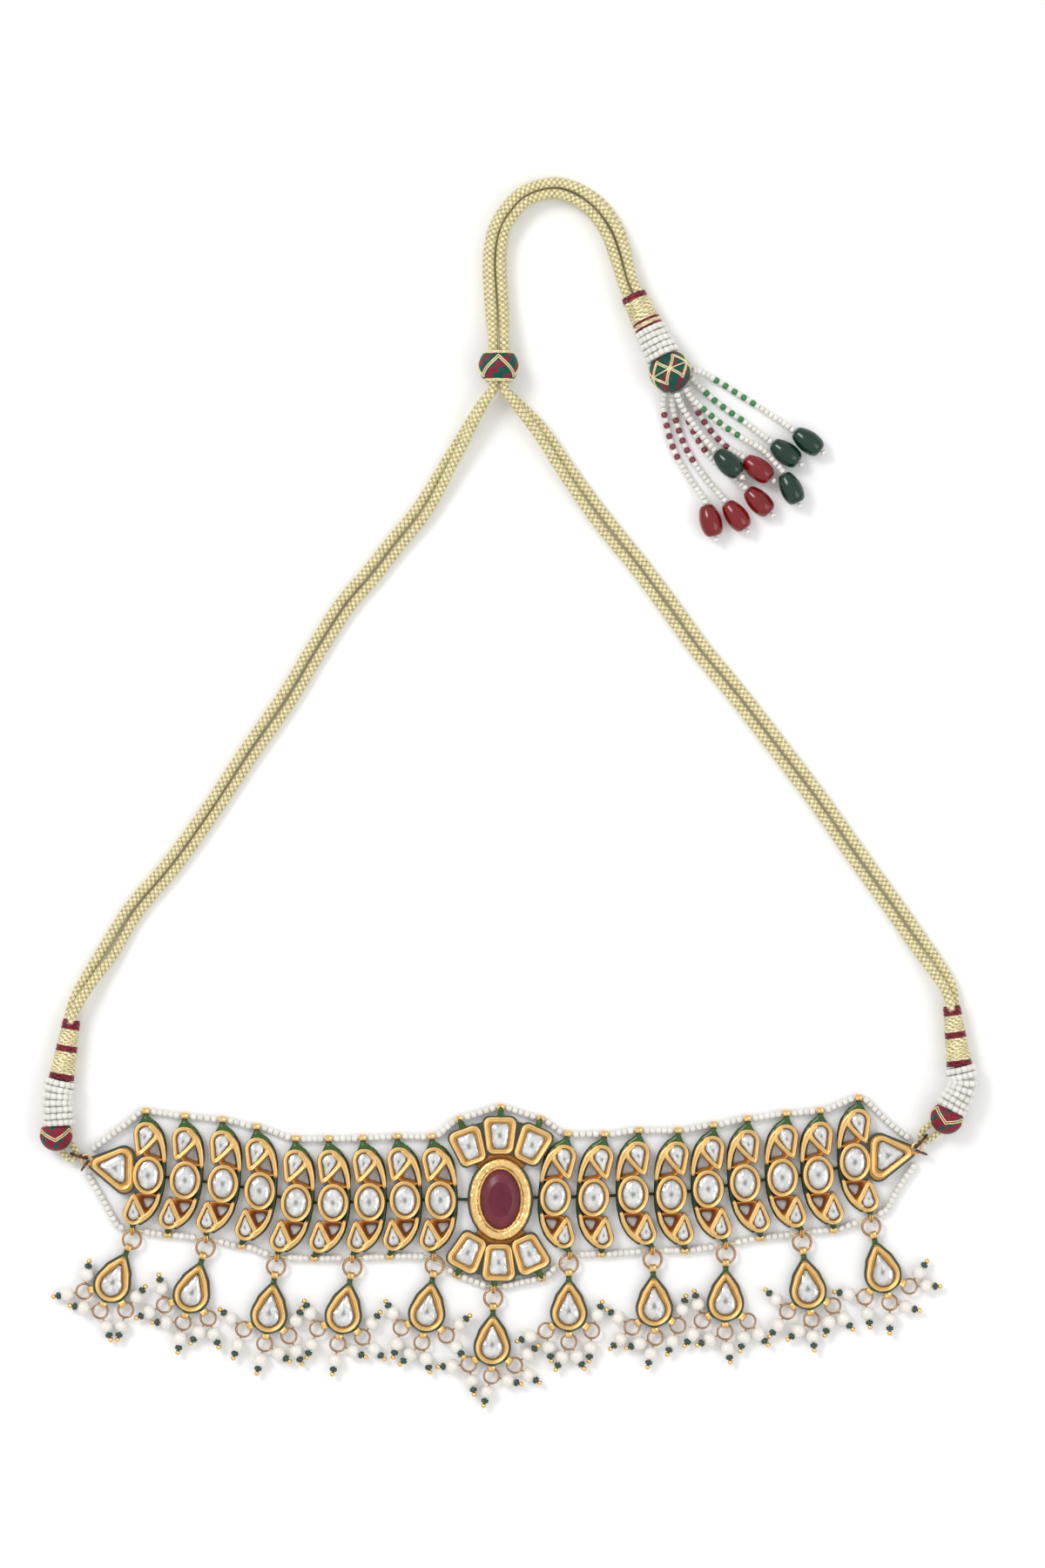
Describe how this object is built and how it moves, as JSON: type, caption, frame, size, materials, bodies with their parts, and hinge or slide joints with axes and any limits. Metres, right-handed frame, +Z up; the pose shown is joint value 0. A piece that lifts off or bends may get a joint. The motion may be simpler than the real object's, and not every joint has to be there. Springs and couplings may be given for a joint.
{
  "type": "necklace",
  "caption": "Kundan choker necklace of linked gold and stone settings with pear drops and pearls, on a looped gold draw cord with a slider bead and a beaded tassel",
  "frame": {"origin": "Flat back of the centre medallion, on the surface it lies on, under the middle of the ruby", "axes": "X along the choker, Y from the choker to the slider and the arch of the cord, Z up out of the stones"},
  "size_m": [0.211, 0.2771, 0.0095],
  "materials": {
    "gold": "soft satin yellow gold with dark green enamel fields",
    "stone": "foiled, silver-white, softly faceted",
    "ruby": "polished, faceted, deep red",
    "ring_gold": "dull rose gold wire",
    "pearl": "cream pearl lustre",
    "bronze": "brown bronze wire",
    "gold_cord": "braided metallic gold thread",
    "seed_bead": "pearly off-white seed beads",
    "red_thread": "wound maroon thread with gold and green bands",
    "dark_glass": "dark green and red-brown moulded glass"
  },
  "bodies": {
    "root": {"link_left_1": "gold", "link_left_2": "gold", "link_left_3": "gold", "link_left_4": "gold", "link_left_5": "gold", "link_left_6": "gold", "link_left_7": "gold", "link_left_8": "gold", "link_left_9": "gold", "link_right_1": "gold", "link_right_2": "gold", "link_right_3": "gold", "link_right_4": "gold", "link_right_5": "gold", "link_right_6": "gold", "link_right_7": "gold", "link_right_8": "gold", "link_right_9": "gold", "centre_medallion": "gold", "drop_1": "gold", "drop_2": "gold", "drop_3": "gold", "drop_4": "gold", "drop_5": "gold", "drop_6": "gold", "drop_7": "gold", "drop_8": "gold", "drop_9": "gold", "drop_10": "gold", "drop_11": "gold", "stones_upper": "stone", "stones_oval": "stone", "stones_lower": "stone", "stones_end": "stone", "stones_petal": "stone", "stones_pear": "stone", "ruby": "ruby", "jump_rings": "ring_gold", "pearl_rings": "gold", "pearls": "pearl", "tie_threads": "gold_cord", "border_top": "seed_bead", "border_foot": "seed_bead", "end_rings": "bronze", "braid_loops": "gold_cord", "end_balls": "red_thread", "end_sleeves": "seed_bead", "end_wraps": "red_thread", "strand_left_a": "gold_cord", "strand_left_b": "gold_cord", "strand_right_a": "gold_cord", "strand_right_b": "gold_cord", "slider": "red_thread", "tassel_wrap": "red_thread", "tassel_sleeve": "seed_bead", "tassel_ball": "red_thread", "tassel_strings": "seed_bead", "glass_drops": "dark_glass"}
  },
  "joints": []
}
